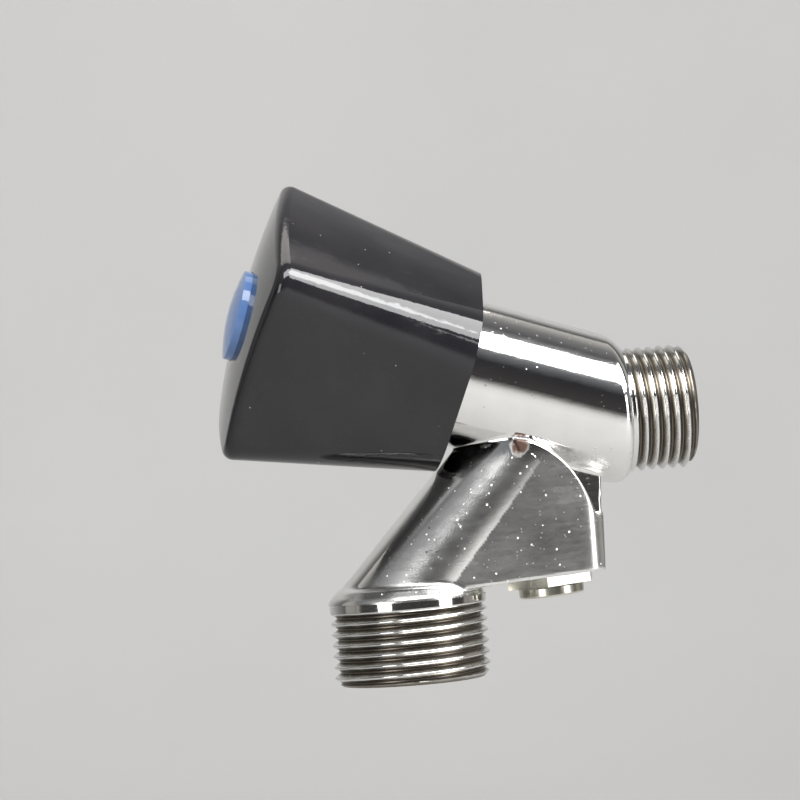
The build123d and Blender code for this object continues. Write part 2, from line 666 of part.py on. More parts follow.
with BuildPart() as air_cap:
    edge_break = 0.3
    turn(
        [
            (0, AIR_CAP_START),
            (AIR_CAP_R, AIR_CAP_START),
            (AIR_CAP_R, AIR_CAP_END - edge_break),
            (AIR_CAP_R - edge_break, AIR_CAP_END),
            (0, AIR_CAP_END),
        ],
        AIR_PLANE,
    )
    round_bar(AIR_PLANE, AIR_CAP_STEM_R, AIR_CAP_STEM_TOP, AIR_CAP_START)
    # Fins that grip the plug's mouth and leave air passages between them
    for angle in (0, 60, 120):
        with BuildSketch(turned(AIR_PLANE.offset(AIR_CAP_STEM_TOP), angle)):
            Rectangle(*AIR_CAP_FIN)
        extrude(amount=AIR_CAP_START - AIR_CAP_STEM_TOP)
finish(air_cap, "air_cap")

with BuildPart() as air_float:
    float_chamfer = 0.35
    turn(
        [
            (0, FLOAT_STEM_END),
            (FLOAT_STEM_R, FLOAT_STEM_END),
            (FLOAT_STEM_R, FLOAT_FOOT),
            (FLOAT_R, FLOAT_FOOT),
            (FLOAT_R, FLOAT_TOP + float_chamfer),
            (FLOAT_R - float_chamfer, FLOAT_TOP),
            (0, FLOAT_TOP),
        ],
        AIR_PLANE,
    )
finish(air_float, "air_float")

with BuildPart() as air_float_seal:
    turn(ring(FLOAT_STEM_R + 0.03, FLOAT_R - 0.1, FLOAT_FOOT, PLUG_SEAT), AIR_PLANE)
finish(air_float_seal, "air_float_seal")

with BuildPart() as air_cage:
    crown_foot = CAGE_TOP + 0.55
    turn(ring(CAGE_BORE_R, CAGE_R, PLUG_TOP, CAGE_TOP), AIR_PLANE)
    turn(ring(CAGE_CROWN_R, CAGE_BORE_R + 0.1, crown_foot, CAGE_TOP), AIR_PLANE)
    for angle in (0, 60, 120):
        with BuildSketch(turned(AIR_PLANE.offset(CAGE_WINDOW_START), angle)):
            Rectangle(*CAGE_WINDOW)
        extrude(amount=-CAGE_WINDOW[1], mode=Mode.SUBTRACT)
finish(air_cage, "air_cage")
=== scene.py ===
"""Looks of the appliance angle stop valve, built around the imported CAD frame. Metres throughout."""

import json
import math

import bpy
import numpy as np
from mathutils import Matrix, Vector


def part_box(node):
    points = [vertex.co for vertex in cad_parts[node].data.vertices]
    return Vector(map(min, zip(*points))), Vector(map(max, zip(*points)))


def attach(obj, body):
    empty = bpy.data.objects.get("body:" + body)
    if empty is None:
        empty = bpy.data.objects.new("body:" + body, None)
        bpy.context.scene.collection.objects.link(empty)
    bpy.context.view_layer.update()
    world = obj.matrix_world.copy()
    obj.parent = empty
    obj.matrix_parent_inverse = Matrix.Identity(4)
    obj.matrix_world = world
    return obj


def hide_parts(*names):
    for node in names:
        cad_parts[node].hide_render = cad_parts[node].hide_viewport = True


MM = 0.001
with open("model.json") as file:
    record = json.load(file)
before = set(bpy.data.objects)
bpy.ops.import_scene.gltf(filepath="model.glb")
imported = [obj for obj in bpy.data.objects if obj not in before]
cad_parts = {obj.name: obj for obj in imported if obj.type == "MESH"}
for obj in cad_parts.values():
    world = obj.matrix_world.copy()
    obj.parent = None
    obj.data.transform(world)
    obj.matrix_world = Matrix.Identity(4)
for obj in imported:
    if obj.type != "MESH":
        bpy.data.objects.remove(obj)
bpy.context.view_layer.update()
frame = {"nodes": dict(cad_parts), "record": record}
nodes = frame["nodes"]
behaviour = frame["record"]["behaviour"]
mounts = {mount["name"]: mount for mount in frame["record"]["mounts"]}

# --- The frame's own axes and sizes ---

turn_joint = next(joint for joint in behaviour["joints"] if joint["name"] == "handle_turn")
float_joint = next(joint for joint in behaviour["joints"] if joint["name"] == "air_float_lift")
CROSSING = np.array(turn_joint["pos_m"], float)
ALONG = np.array(turn_joint["axis"], float)
BASE_DOWN = -np.array(float_joint["axis"], float)
INLET_R = mounts["inlet_thread"]["dims"]["r_mm"] * MM
OUTLET_R = mounts["outlet_thread"]["dims"]["r_mm"] * MM
body_low, body_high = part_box("valve_body")
INLET_END = body_high.x
OUTLET_END = body_low.z
OUTLET_X = mounts["outlet_thread"]["pos_m"][0]

# --- Sizes of the casting, as in the CAD ---

PITCH = 0.0254 / 14
THREAD_DEPTH = 1.162 * MM
ELBOW_R = 12.1 * MM
TUBE_END_R = 12.65 * MM
TUBE_END = 33.0 * MM
INLET_BORE_R = 7.0 * MM
INLET_BORE_END = -6.0 * MM
SEAT_BORE_R = 5.5 * MM
SEAT_LIP_R = 6.9 * MM
SEAT_TOP = 10.8 * MM
CHAMBER_FLOOR = 9.0 * MM
CHAMBER_R = 9.32 * MM
BONNET_THREAD_START = 19.5 * MM
BONNET_THREAD_R = 10.5 * MM
HOUSING_HALF_WIDTH = 10.1 * MM
HOUSING_CORNER_R = 4.5 * MM
HOUSING_BACK = -6.2 * MM
HOUSING_PLAN_BACK = -5.4 * MM
HOUSING_FOOT = -44.0 * MM
FLAT_FOOT = np.array([-37.4, -27.94]) * MM
WEB_HEAD = np.array([-5.2, -8.0]) * MM
BASE_BACK_Z = -26.2 * MM
NECK_TOP = np.array([-18.7, 0, -7.87]) * MM
NECK_TILT = math.radians(47.1)
NECK_TOP_R = 10.1 * MM
NECK_TAPER = math.tan(math.radians(0.5))
NECK_START = -2.2 * MM
NECK_BORE_R = 6.5 * MM
NECK_BORE_START = -4.6 * MM
NECK_BORE_END = 31.0 * MM
OUTLET_SHOULDER_Z = -29.3 * MM
COLLAR_RISE = 2.8 * MM
OUTLET_BORE_R = 9.5 * MM
OUTLET_BORE_TOP = -28.6 * MM
AIR_X = -14.5 * MM
AIR_HOLE_R = 4.9 * MM
AIR_HOLE_DEPTH = 11.0 * MM
O_RING_SEAT_R = 6.05 * MM
O_RING_SEAT_DEPTH = 1.15 * MM
ARCH = np.array([(-5.6, -17.0), (-7.2, -17.0), (-11.9, -7.9), (-20.4, -3.3), (-28.0, -6.4)]) * MM

CELL = 0.4 * MM
EDGE_ROUND = 0.45 * MM
JUNCTION_ROUND = 0.7 * MM


# --- Casting: a distance field turned into a mesh ---


def smooth_min(a, b, radius):
    """The smaller of two distances, blended over about the radius."""
    share = np.clip(0.5 + 0.5 * (b - a) / radius, 0, 1)
    return b * (1 - share) + a * share - radius * share * (1 - share)


def smooth_max(a, b, radius):
    return -smooth_min(-a, -b, radius)


def axial(points, origin, direction):
    """Distance along an axis and distance from it."""
    offset = points - origin
    along = offset @ direction
    away = np.linalg.norm(offset - along[..., None] * direction, axis=-1)
    return along, away


def cylinder(points, origin, direction, radius, start, end):
    along, away = axial(points, origin, direction)
    return np.maximum(away - radius, np.maximum(start - along, along - end))


def base_distance(points):
    """Height below the housing's sloping base, negative inside the casting."""
    foot = np.array([HOUSING_BACK, 0, BASE_BACK_Z])
    return (points - foot) @ BASE_DOWN


def arch_outline():
    """The housing's side outline: base, back and a smooth arch, as x and z points."""
    slope = BASE_DOWN[0] / -BASE_DOWN[2]
    back_foot = (HOUSING_BACK, BASE_BACK_Z)
    neck_foot = (HOUSING_FOOT, BASE_BACK_Z + (HOUSING_FOOT - HOUSING_BACK) * slope)
    knots = ARCH[1:]
    spans = np.r_[0, np.cumsum(np.linalg.norm(np.diff(knots, axis=0), axis=1))]
    steps = np.linspace(0, spans[-1], 48)
    curve = [np.array(natural_spline(spans, knots[:, side], steps)) for side in (0, 1)]
    return np.vstack([neck_foot, back_foot, ARCH[0], np.stack(curve, 1)])


def natural_spline(knots, values, at):
    """A natural cubic spline through the values."""
    count = len(knots)
    gaps = np.diff(knots)
    system, right = np.eye(count), np.zeros(count)
    for k in range(1, count - 1):
        system[k, k - 1 : k + 2] = gaps[k - 1], 2 * (gaps[k - 1] + gaps[k]), gaps[k]
        rise = (values[k + 1] - values[k]) / gaps[k] - (values[k] - values[k - 1]) / gaps[k - 1]
        right[k] = 6 * rise
    bend = np.linalg.solve(system, right)
    span = np.clip(np.searchsorted(knots, at) - 1, 0, count - 2)
    left, gap = at - knots[span], gaps[span]
    slope = (values[span + 1] - values[span]) / gap - gap * (2 * bend[span] + bend[span + 1]) / 6
    cubic = (bend[span + 1] - bend[span]) / (6 * gap)
    return values[span] + left * (slope + left * (bend[span] / 2 + left * cubic))


def outline_distance(x, z, outline):
    """Signed distance in the XZ plane to a closed outline, negative inside."""
    nearest = np.full(x.shape, 1e9)
    inside = np.zeros(x.shape, bool)
    for (ax, az), (bx, bz) in zip(outline, np.roll(outline, -1, axis=0), strict=True):
        dx, dz = bx - ax, bz - az
        share = np.clip(((x - ax) * dx + (z - az) * dz) / (dx * dx + dz * dz), 0, 1)
        nearest = np.minimum(nearest, np.hypot(x - ax - share * dx, z - az - share * dz))
        if dz:
            crossing = (az > z) != (bz > z)
            inside ^= crossing & (x < dx * (z - az) / dz + ax)
    return np.where(inside, -nearest, nearest)


OUTLINE = arch_outline()
# Everything on the neck's side of its axis, where its half-round takes over from the flat sides
FAR = -60.0 * MM
NECK_SIDE = np.array(
    [(ARCH[3][0], 0), ARCH[3], NECK_TOP[[0, 2]], FLAT_FOOT, (FLAT_FOOT[0], FAR), (FAR, FAR), (FAR, 0)]
)


def casting(points):
    """Signed distance to the casting without its two threads."""
    x, y, z = points[..., 0], points[..., 1], points[..., 2]
    # Inclined tube with a round elbow, cut square at the inlet's shoulder
    along, away = axial(points, CROSSING, ALONG)
    radius = ELBOW_R + (TUBE_END_R - ELBOW_R) * np.clip(along / TUBE_END, 0, 1)
    ball = np.linalg.norm(points - CROSSING, axis=-1) - ELBOW_R
    tube = np.where(along > 0, away - radius, ball)
    tube = smooth_max(tube, along - TUBE_END, 0.25 * MM)
    spread = np.hypot(y, z)
    tube = smooth_max(tube, (spread + x - ELBOW_R + 1.0 * MM) / math.sqrt(2), 0.5 * MM)
    # Flat-sided housing
    side = outline_distance(x, z, OUTLINE)
    side = np.maximum(side, -outline_distance(x, z, NECK_SIDE))
    housing = smooth_max(side, np.abs(y) - HOUSING_HALF_WIDTH, EDGE_ROUND)
    corner_x = x - (HOUSING_PLAN_BACK - HOUSING_CORNER_R)
    corner_y = np.abs(y) - (HOUSING_HALF_WIDTH - HOUSING_CORNER_R)
    plan = np.hypot(np.maximum(corner_x, 0), np.maximum(corner_y, 0)) - HOUSING_CORNER_R
    housing = smooth_max(housing, plan, EDGE_ROUND)
    # Flat web up the middle of the housing's back
    web_slope = (WEB_HEAD[0] - HOUSING_BACK) / (WEB_HEAD[1] - BASE_BACK_Z)
    web = np.maximum(x - HOUSING_BACK - web_slope * (z - BASE_BACK_Z), HOUSING_BACK - 8 * MM - x)
    web = np.maximum(web, np.maximum(z - WEB_HEAD[1], base_distance(points)))
    web = smooth_max(web, np.abs(y) - (HOUSING_HALF_WIDTH - HOUSING_CORNER_R), EDGE_ROUND)
    housing = smooth_min(housing, web, JUNCTION_ROUND)
    # Sloping neck, level with the housing's base
    down = np.array([-math.cos(NECK_TILT), 0, -math.sin(NECK_TILT)])
    neck_along, neck_away = axial(points, NECK_TOP, down)
    neck = neck_away - (NECK_TOP_R + NECK_TAPER * np.maximum(neck_along, -3 * MM))
    neck = np.maximum(neck, NECK_START - neck_along)
    neck = smooth_max(neck, base_distance(points), EDGE_ROUND)
    body = smooth_min(tube, np.minimum(housing, neck), JUNCTION_ROUND)
    body = smooth_max(body, x, 0.25 * MM)
    # Outlet collar with its sloping top
    outlet_away = np.hypot(x - OUTLET_X, y)
    rise = z - OUTLET_SHOULDER_Z
    collar_r = OUTLET_R - 0.12 * MM
    collar = smooth_max(outlet_away - collar_r, rise - COLLAR_RISE, EDGE_ROUND)
    collar = smooth_max(collar, (outlet_away + rise - collar_r - 1.2 * MM) / math.sqrt(2), EDGE_ROUND)
    collar = np.maximum(collar, -rise)
    body = smooth_min(body, collar, 0.8 * MM)
    return hollow(points, body)


def hollow(points, body):
    """Cuts the waterways, the valve chamber and the air inlet's hole."""
    x_axis, up = np.array([1.0, 0, 0]), np.array([0, 0, 1.0])
    origin, outlet = np.zeros(3), np.array([OUTLET_X, 0, 0])
    down = np.array([-math.cos(NECK_TILT), 0, -math.sin(NECK_TILT)])
    slope = BASE_DOWN[0] / -BASE_DOWN[2]
    air = np.array([AIR_X, 0, BASE_BACK_Z + (AIR_X - HOUSING_BACK) * slope])
    chamber = cylinder(points, CROSSING, ALONG, CHAMBER_R, CHAMBER_FLOOR, TUBE_END)
    seat = cylinder(points, CROSSING, ALONG, SEAT_LIP_R, 0, SEAT_TOP)
    cuts = [
        cylinder(points, origin, x_axis, INLET_BORE_R, INLET_BORE_END, 1),
        cylinder(points, CROSSING, ALONG, SEAT_BORE_R, 0, SEAT_TOP + MM),
        np.maximum(chamber, -seat),
        cylinder(points, CROSSING, ALONG, BONNET_THREAD_R, BONNET_THREAD_START, 1),
        cylinder(points, NECK_TOP, down, NECK_BORE_R, NECK_BORE_START, NECK_BORE_END),
        cylinder(points, outlet, up, OUTLET_BORE_R, -1, OUTLET_BORE_TOP),
        cylinder(points, air, BASE_DOWN, AIR_HOLE_R, -AIR_HOLE_DEPTH, 1),
        cylinder(points, air, BASE_DOWN, O_RING_SEAT_R, -O_RING_SEAT_DEPTH, 1),
    ]
    for cut in cuts:
        body = smooth_max(body, -cut, 0.25 * MM)
    return body


def field_gradient(field, points, step=0.02 * MM):
    sides = [field(points + offset) - field(points - offset) for offset in np.eye(3) * step]
    slope = np.stack(sides, -1)
    return slope / np.maximum(np.linalg.norm(slope, axis=-1, keepdims=True), 1e-12)


def field_mesh(name, field, low, high):
    """Meshes a distance field: one vertex per surface cell, pulled onto the surface, with exact normals."""
    counts = np.ceil((high - low) / CELL).astype(int) + 1
    axes = [low[k] + CELL * np.arange(counts[k]) for k in range(3)]
    slabs = [field(np.stack(np.meshgrid([x], axes[1], axes[2], indexing="ij"), -1))[0] for x in axes[0]]
    values = np.stack(slabs)
    inside = values < 0
    corners = [np.array(corner) for corner in np.ndindex(2, 2, 2)]
    cells = tuple(counts - 1)

    def shifted(array, corner):
        return array[tuple(slice(corner[k], corner[k] + cells[k]) for k in range(3))]

    total = sum(shifted(inside, corner).astype(np.int8) for corner in corners)
    active = np.argwhere((total > 0) & (total < 8))
    index = np.full(cells, -1)
    index[tuple(active.T)] = np.arange(len(active))
    sums, hits = np.zeros((len(active), 3)), np.zeros(len(active))
    for a in corners:
        for axis in range(3):
            if a[axis]:
                continue
            b = a + np.eye(3, dtype=int)[axis]
            value_a, value_b = values[tuple((active + a).T)], values[tuple((active + b).T)]
            crossed = (value_a < 0) != (value_b < 0)
            share = value_a / np.where(crossed, value_a - value_b, 1)
            point = active + a + share[:, None] * (b - a)
            sums += np.where(crossed[:, None], point, 0)
            hits += crossed
    points = low + CELL * sums / hits[:, None]
    for _ in range(4):
        normal = field_gradient(field, points)
        points = points - np.clip(field(points), -CELL / 2, CELL / 2)[:, None] * normal
    faces = []
    for axis in range(3):
        u, v = (axis + 1) % 3, (axis + 2) % 3
        ahead = np.roll(inside, -1, axis=axis)
        trim = [slice(1, counts[k] - 1) for k in range(3)]
        trim[axis] = slice(0, counts[axis] - 1)
        window = np.zeros_like(inside)
        window[tuple(trim)] = True
        for flip in (False, True):
            where = window & (inside == (not flip)) & (ahead == flip)
            spots = np.argwhere(where)
            step_u, step_v = np.eye(3, dtype=int)[u], np.eye(3, dtype=int)[v]
            loop = [spots - step_u - step_v, spots - step_v, spots, spots - step_u]
            quad = np.stack([index[tuple(corner.T)] for corner in loop], 1)
            faces.append(quad[:, ::-1] if flip else quad)
    faces = np.vstack(faces)
    faces = faces[(faces >= 0).all(1)]
    return smooth_object(name, points, faces.tolist(), field_gradient(field, points))


def smooth_object(name, points, faces, normals=None):
    mesh = bpy.data.meshes.new(name)
    mesh.from_pydata(np.asarray(points).tolist(), [], faces)
    mesh.validate()
    mesh.polygons.foreach_set("use_smooth", [True] * len(mesh.polygons))
    if normals is not None and len(mesh.vertices) == len(normals):
        mesh.normals_split_custom_set_from_vertices(np.asarray(normals).tolist())
    piece = bpy.data.objects.new(name, mesh)
    bpy.context.scene.collection.objects.link(piece)
    return piece


# --- Pipe threads: right-handed helical ridges ---


def whitworth(phase):
    """Share of the full thread height across one pitch: round crest and root, straight flanks."""
    rise = 1.32 * (0.5 - np.abs(phase - 0.5)) * 2 - 0.16
    return np.clip(smooth_min(np.maximum(rise, 0) + 0.04, np.full_like(rise, 1.0), 0.16), 0, 1)


def thread_piece(name, origin, outwards, length, major_r, bore_r):
    """A male thread whose rows of vertices follow the helix, closed by a chamfered end and a bore."""
    around, across = 192, 20
    turns = int(math.ceil(length / PITCH)) + 2
    side = np.cross(outwards, [0, 1.0, 0])
    other = np.cross(outwards, side)
    minor_r = major_r - THREAD_DEPTH
    bury = 0.6 * MM

    column, row = np.meshgrid(np.arange(around * turns + 1), np.arange(across), indexing="ij")
    angle = 2 * math.pi * column / around
    height = PITCH * (angle / (2 * math.pi) + row / across - 1.5)
    height_in = np.clip(height, -bury, length)
    phase = row / across
    groove_fade = np.clip((height_in - 0.5 * MM) / (0.9 * MM), 0, 1)
    groove_fade = groove_fade * groove_fade * (3 - 2 * groove_fade)
    radius = major_r - 0.01 * MM - THREAD_DEPTH * (1 - whitworth(phase)) * groove_fade
    chamfer_r = minor_r - 0.1 * MM + (length - height_in) * 1.1
    radius = np.minimum(radius, chamfer_r)

    def place(radius, angle, height):
        ray = np.cos(angle)[..., None] * side + np.sin(angle)[..., None] * other
        return origin + radius[..., None] * ray + height[..., None] * outwards

    points = place(radius, angle, height_in).reshape(-1, 3)
    number = np.arange(len(points)).reshape(column.shape)
    faces = []
    for k in range(across):
        low = number[:-1, k]
        high = number[1:, k]
        if k < across - 1:
            low_next, high_next = number[:-1, k + 1], number[1:, k + 1]
            quads = np.stack([low, high, high_next, low_next], 1)
        else:
            low, high = low[:-around], high[:-around]
            low_next, high_next = number[around:-1, 0], number[around + 1 :, 0]
            quads = np.stack([low, high, high_next, low_next], 1)
        spread = height.reshape(-1)[quads]
        keep = (spread.min(1) < length) & (spread.max(1) > -bury)
        faces.append(quads[keep])
    faces = np.vstack(faces).tolist()
    # End face, rounded mouth and bore
    ring_angle = 2 * math.pi * np.arange(around) / around
    end_profile = [
        (minor_r - 0.1 * MM, length),
        (bore_r + 0.35 * MM, length),
        (bore_r + 0.1 * MM, length - 0.1 * MM),
        (bore_r, length - 0.35 * MM),
        (bore_r, 0.02 * MM),
    ]
    rings = []
    for ring_r, ring_height in end_profile:
        full = np.full(around, 1.0)
        rings.append(place(ring_r * full, ring_angle, ring_height * full))
    start = len(points)
    points = np.vstack([points, *rings])
    for k in range(len(rings) - 1):
        for j in range(around):
            a, b = start + k * around + j, start + k * around + (j + 1) % around
            faces.append((a, b, b + around, a + around))
    piece = smooth_object(name, points, faces)
    weld(piece)
    return piece


def weld(piece, distance=2e-6):
    """Joins vertices that meet and drops faces that have collapsed, then marks sharp edges."""
    import bmesh

    mesh = bmesh.new()
    mesh.from_mesh(piece.data)
    bmesh.ops.remove_doubles(mesh, verts=mesh.verts, dist=distance)
    bmesh.ops.dissolve_degenerate(mesh, edges=mesh.edges, dist=distance)
    bmesh.ops.recalc_face_normals(mesh, faces=mesh.faces)
    for edge in mesh.edges:
        if len(edge.link_faces) == 2 and edge.calc_face_angle(0) > math.radians(38):
            edge.smooth = False
    for face in mesh.faces:
        face.smooth = True
    mesh.to_mesh(piece.data)
    mesh.free()


# --- Materials ---


class Shader:
    """A Principled material with short helpers for its nodes. Coordinates are the object's own, in metres."""

    def __init__(self, name, **sockets):
        self.material = bpy.data.materials.new(name)
        self.material.use_nodes = True
        self.tree = self.material.node_tree
        self.surface = self.tree.nodes["Principled BSDF"]
        self.place = self.tree.nodes.new("ShaderNodeTexCoord").outputs["Object"]
        for socket, value in sockets.items():
            self.surface.inputs[socket.replace("_", " ")].default_value = value

    def node(self, kind, inputs=(), **settings):
        made = self.tree.nodes.new(kind)
        for key, value in settings.items():
            setattr(made, key, value)
        for key, value in dict(inputs).items():
            if isinstance(value, bpy.types.NodeSocket):
                self.tree.links.new(value, made.inputs[key])
            else:
                made.inputs[key].default_value = value
        return made

    def noise(self, scale, detail=3.0, stretch=(1, 1, 1), rotation=(0, 0, 0), roughness=0.5):
        turned = {"Vector": self.place, "Scale": stretch, "Rotation": rotation}
        mapping = self.node("ShaderNodeMapping", turned)
        inputs = {"Vector": mapping.outputs[0], "Scale": scale, "Detail": detail, "Roughness": roughness}
        return self.node("ShaderNodeTexNoise", inputs).outputs["Fac"]

    def spots(self, scale, size, softness=0.4):
        """Small round marks: 1 at a mark's centre, 0 outside."""
        cells = self.node("ShaderNodeTexVoronoi", {"Vector": self.place, "Scale": scale})
        return self.ramp(cells.outputs["Distance"], (size * (1 - softness), 1), (size, 0))

    def ramp(self, value, start, end):
        """Maps a value smoothly from start (in, out) to end (in, out)."""
        inputs = {"Value": value, 1: start[0], 2: end[0], 3: start[1], 4: end[1]}
        return self.node("ShaderNodeMapRange", inputs, interpolation_type="SMOOTHSTEP").outputs[0]

    def math(self, operation, a, b=0.0, c=0.0):
        return self.node("ShaderNodeMath", {0: a, 1: b, 2: c}, operation=operation).outputs[0]

    def total(self, first, *others):
        for other in others:
            first = self.math("ADD", first, other)
        return first

    def times(self, first, *others):
        for other in others:
            first = self.math("MULTIPLY", first, other)
        return first

    def vector(self, operation, a, b=(0, 0, 0), output="Vector"):
        return self.node("ShaderNodeVectorMath", {0: a, 1: b}, operation=operation).outputs[output]

    def blend(self, share, colour, other):
        return self.node("ShaderNodeMix", {0: share, 6: colour, 7: (*other, 1)}, data_type="RGBA").outputs[2]

    def colour(self, value, *stops):
        ramp = self.node("ShaderNodeValToRGB", {"Fac": value})
        elements = ramp.color_ramp.elements
        while len(elements) < len(stops):
            elements.new(0.5)
        for element, (position, tint) in zip(elements, stops, strict=True):
            element.position = position
            element.color = (*tint, 1)
        return ramp.outputs["Color"]

    def bump(self, height, depth):
        """Adds relief of the given depth in metres over what is there already."""
        inputs = {"Height": height, "Distance": depth, "Strength": 1.0}
        if self.surface.inputs["Normal"].links:
            inputs["Normal"] = self.surface.inputs["Normal"].links[0].from_socket
        self.set("Normal", self.node("ShaderNodeBump", inputs).outputs["Normal"])

    def set(self, socket, value):
        self.tree.links.new(value, self.surface.inputs[socket])


def casting_shader(name):
    """Chrome over a casting: mirror bright on the tube, satin and speckled on the housing's sides."""
    shader = Shader(name, Metallic=1.0)
    parts = shader.node("ShaderNodeSeparateXYZ", {0: shader.place}).outputs
    outer = shader.ramp(shader.math("ABSOLUTE", parts["Y"]), (4.5 * MM, 0), (7.5 * MM, 1))
    below = shader.ramp(parts["Z"], (-7.5 * MM, 1), (-3.5 * MM, 0))
    satin = shader.times(outer, below)
    cloud = shader.noise(120, 4, roughness=0.6)
    blotches = shader.noise(45, 5, roughness=0.65)
    marks = shader.noise(900, 5, stretch=(0.25, 1, 1.6), rotation=(0.3, 0.35, 0.2))
    pits = shader.spots(900, 0.13)
    specks = shader.times(shader.spots(520, 0.10), satin)
    large_pits = shader.spots(210, 0.05)
    # A stain where the plating has worn through at the top of one side's arch
    stain_centre = (-19.6 * MM, -HOUSING_HALF_WIDTH, -4.4 * MM)
    stain_far = shader.vector("LENGTH", shader.vector("SUBTRACT", shader.place, stain_centre), output="Value")
    ragged = shader.times(shader.noise(700, 4), 2.2 * MM)
    stain = shader.ramp(shader.total(stain_far, ragged), (2.1 * MM, 1), (3.0 * MM, 0))
    dirt = shader.total(
        shader.times(cloud, 0.55),
        shader.times(large_pits, 0.5),
        shader.times(blotches, satin, 0.22),
    )
    base = shader.colour(
        dirt,
        (0.15, (0.80, 0.795, 0.78)),
        (0.45, (0.70, 0.695, 0.68)),
        (0.75, (0.42, 0.40, 0.37)),
        (1.0, (0.16, 0.13, 0.11)),
    )
    shader.set("Base Color", shader.blend(stain, base, (0.085, 0.045, 0.032)))
    shader.set("Metallic", shader.math("MULTIPLY_ADD", stain, -0.7, 1.0))
    rough = shader.total(
        shader.times(marks, 0.10),
        0.025,
        shader.times(satin, blotches, 0.34),
        shader.times(specks, 0.35),
        shader.times(pits, 0.12),
        shader.times(stain, 0.35),
    )
    shader.set("Roughness", rough)
    shader.bump(cloud, 0.05 * MM)
    shader.bump(marks, 0.0024 * MM)
    shader.bump(shader.times(pits, -1.0), 0.008 * MM)
    shader.bump(shader.times(specks, -1.0), 0.03 * MM)
    return shader.material


def turned_shader(name, tint, dark, ring_scale, roughness, depth):
    """Turned metal: fine rings from the tool and small stains."""
    shader = Shader(name, Metallic=1.0)
    cloud = shader.noise(220, 4, roughness=0.65)
    rings = shader.noise(ring_scale, 2, stretch=(1, 0.12, 0.12))
    shader.set("Base Color", shader.colour(cloud, (0.3, tint), (0.62, tint), (0.9, dark)))
    shader.set("Roughness", shader.total(shader.times(rings, 0.18), roughness))
    shader.bump(rings, depth)
    return shader.material


def thread_shader(name, origin, outwards, major_r):
    """Plated thread: colour darkened towards the roots as painted shade and lightened on the crests as
    painted highlight, with noise making the dark edge patchy; rougher at the roots.
    """
    shader = Shader(name, Metallic=1.0)
    across = [1 - abs(part) for part in outwards]
    flat = shader.vector("MULTIPLY", shader.vector("SUBTRACT", shader.place, origin), across)
    radius = shader.vector("LENGTH", flat, output="Value")
    # Noise that roughens the edge of the painted shade in the thread's roots
    root_shade_noise = shader.noise(420, 4, roughness=0.65)
    shade_radius = shader.total(shader.times(root_shade_noise, 0.7 * MM), radius)
    share = shader.ramp(shade_radius, (major_r - 0.75 * MM, 0), (major_r + 0.25 * MM, 1))
    # Painted shade and highlight: roots dark, flanks mid, crests light, chosen by distance from the thread's
    # axis
    root, flank, crest = (0.17, 0.15, 0.125), (0.46, 0.45, 0.42), (0.66, 0.655, 0.64)
    shader.set("Base Color", shader.colour(share, (0.0, root), (0.55, flank), (1.0, crest)))
    shader.set("Roughness", shader.math("SUBTRACT", 0.34, shader.times(share, 0.26)))
    shader.bump(shader.noise(1500, 3), 0.004 * MM)
    return shader.material


def gloss_plastic_shader(name, tint, worn, fleck):
    """High-gloss moulded plastic: slight waviness, hairline scratches and a little dust."""
    shader = Shader(name, Metallic=0.0, IOR=1.47, Coat_Weight=0.05, Coat_Roughness=0.03)
    cloud = shader.noise(90, 3)
    hair = shader.noise(700, 4, stretch=(0.12, 1, 1), rotation=(0.2, 0.5, 0.9))
    scratches = shader.ramp(hair, (0.62, 0), (0.70, 1))
    dust = shader.spots(330, 0.045)
    base = shader.colour(cloud, (0.3, tint), (0.7, worn))
    shader.set("Base Color", shader.blend(shader.times(dust, 0.8), base, fleck))
    rough = shader.total(
        shader.times(cloud, 0.06), 0.045, shader.times(scratches, 0.10), shader.times(dust, 0.5)
    )
    shader.set("Roughness", rough)
    shader.bump(cloud, 0.06 * MM)
    shader.bump(scratches, -0.0012 * MM)
    return shader.material


def matt_shader(name, tint, dark, scale, roughness, depth, subsurface=0.0):
    """Rubber, fibre and acetal: fine grain with slow colour variation."""
    shader = Shader(name, Metallic=0.0)
    shader.surface.inputs["Subsurface Weight"].default_value = subsurface
    shader.surface.inputs["Subsurface Scale"].default_value = 0.5 * MM
    cloud = shader.noise(scale * 0.2, 4)
    grain = shader.noise(scale, 5, roughness=0.7)
    shader.set("Base Color", shader.colour(cloud, (0.3, tint), (0.75, dark)))
    shader.set("Roughness", shader.total(shader.times(grain, 0.25), roughness))
    shader.bump(grain, depth)
    return shader.material


def steel_shader(name, tint, dark, roughness):
    """Drawn or plated steel: drawing marks and a few darker patches."""
    shader = Shader(name, Metallic=1.0)
    cloud = shader.noise(400, 4)
    drawn = shader.noise(1500, 3, stretch=(0.2, 1, 1))
    shader.set("Base Color", shader.colour(cloud, (0.35, tint), (0.8, dark)))
    shader.set("Roughness", shader.total(shader.times(drawn, 0.2), roughness))
    shader.bump(drawn, 0.002 * MM)
    return shader.material


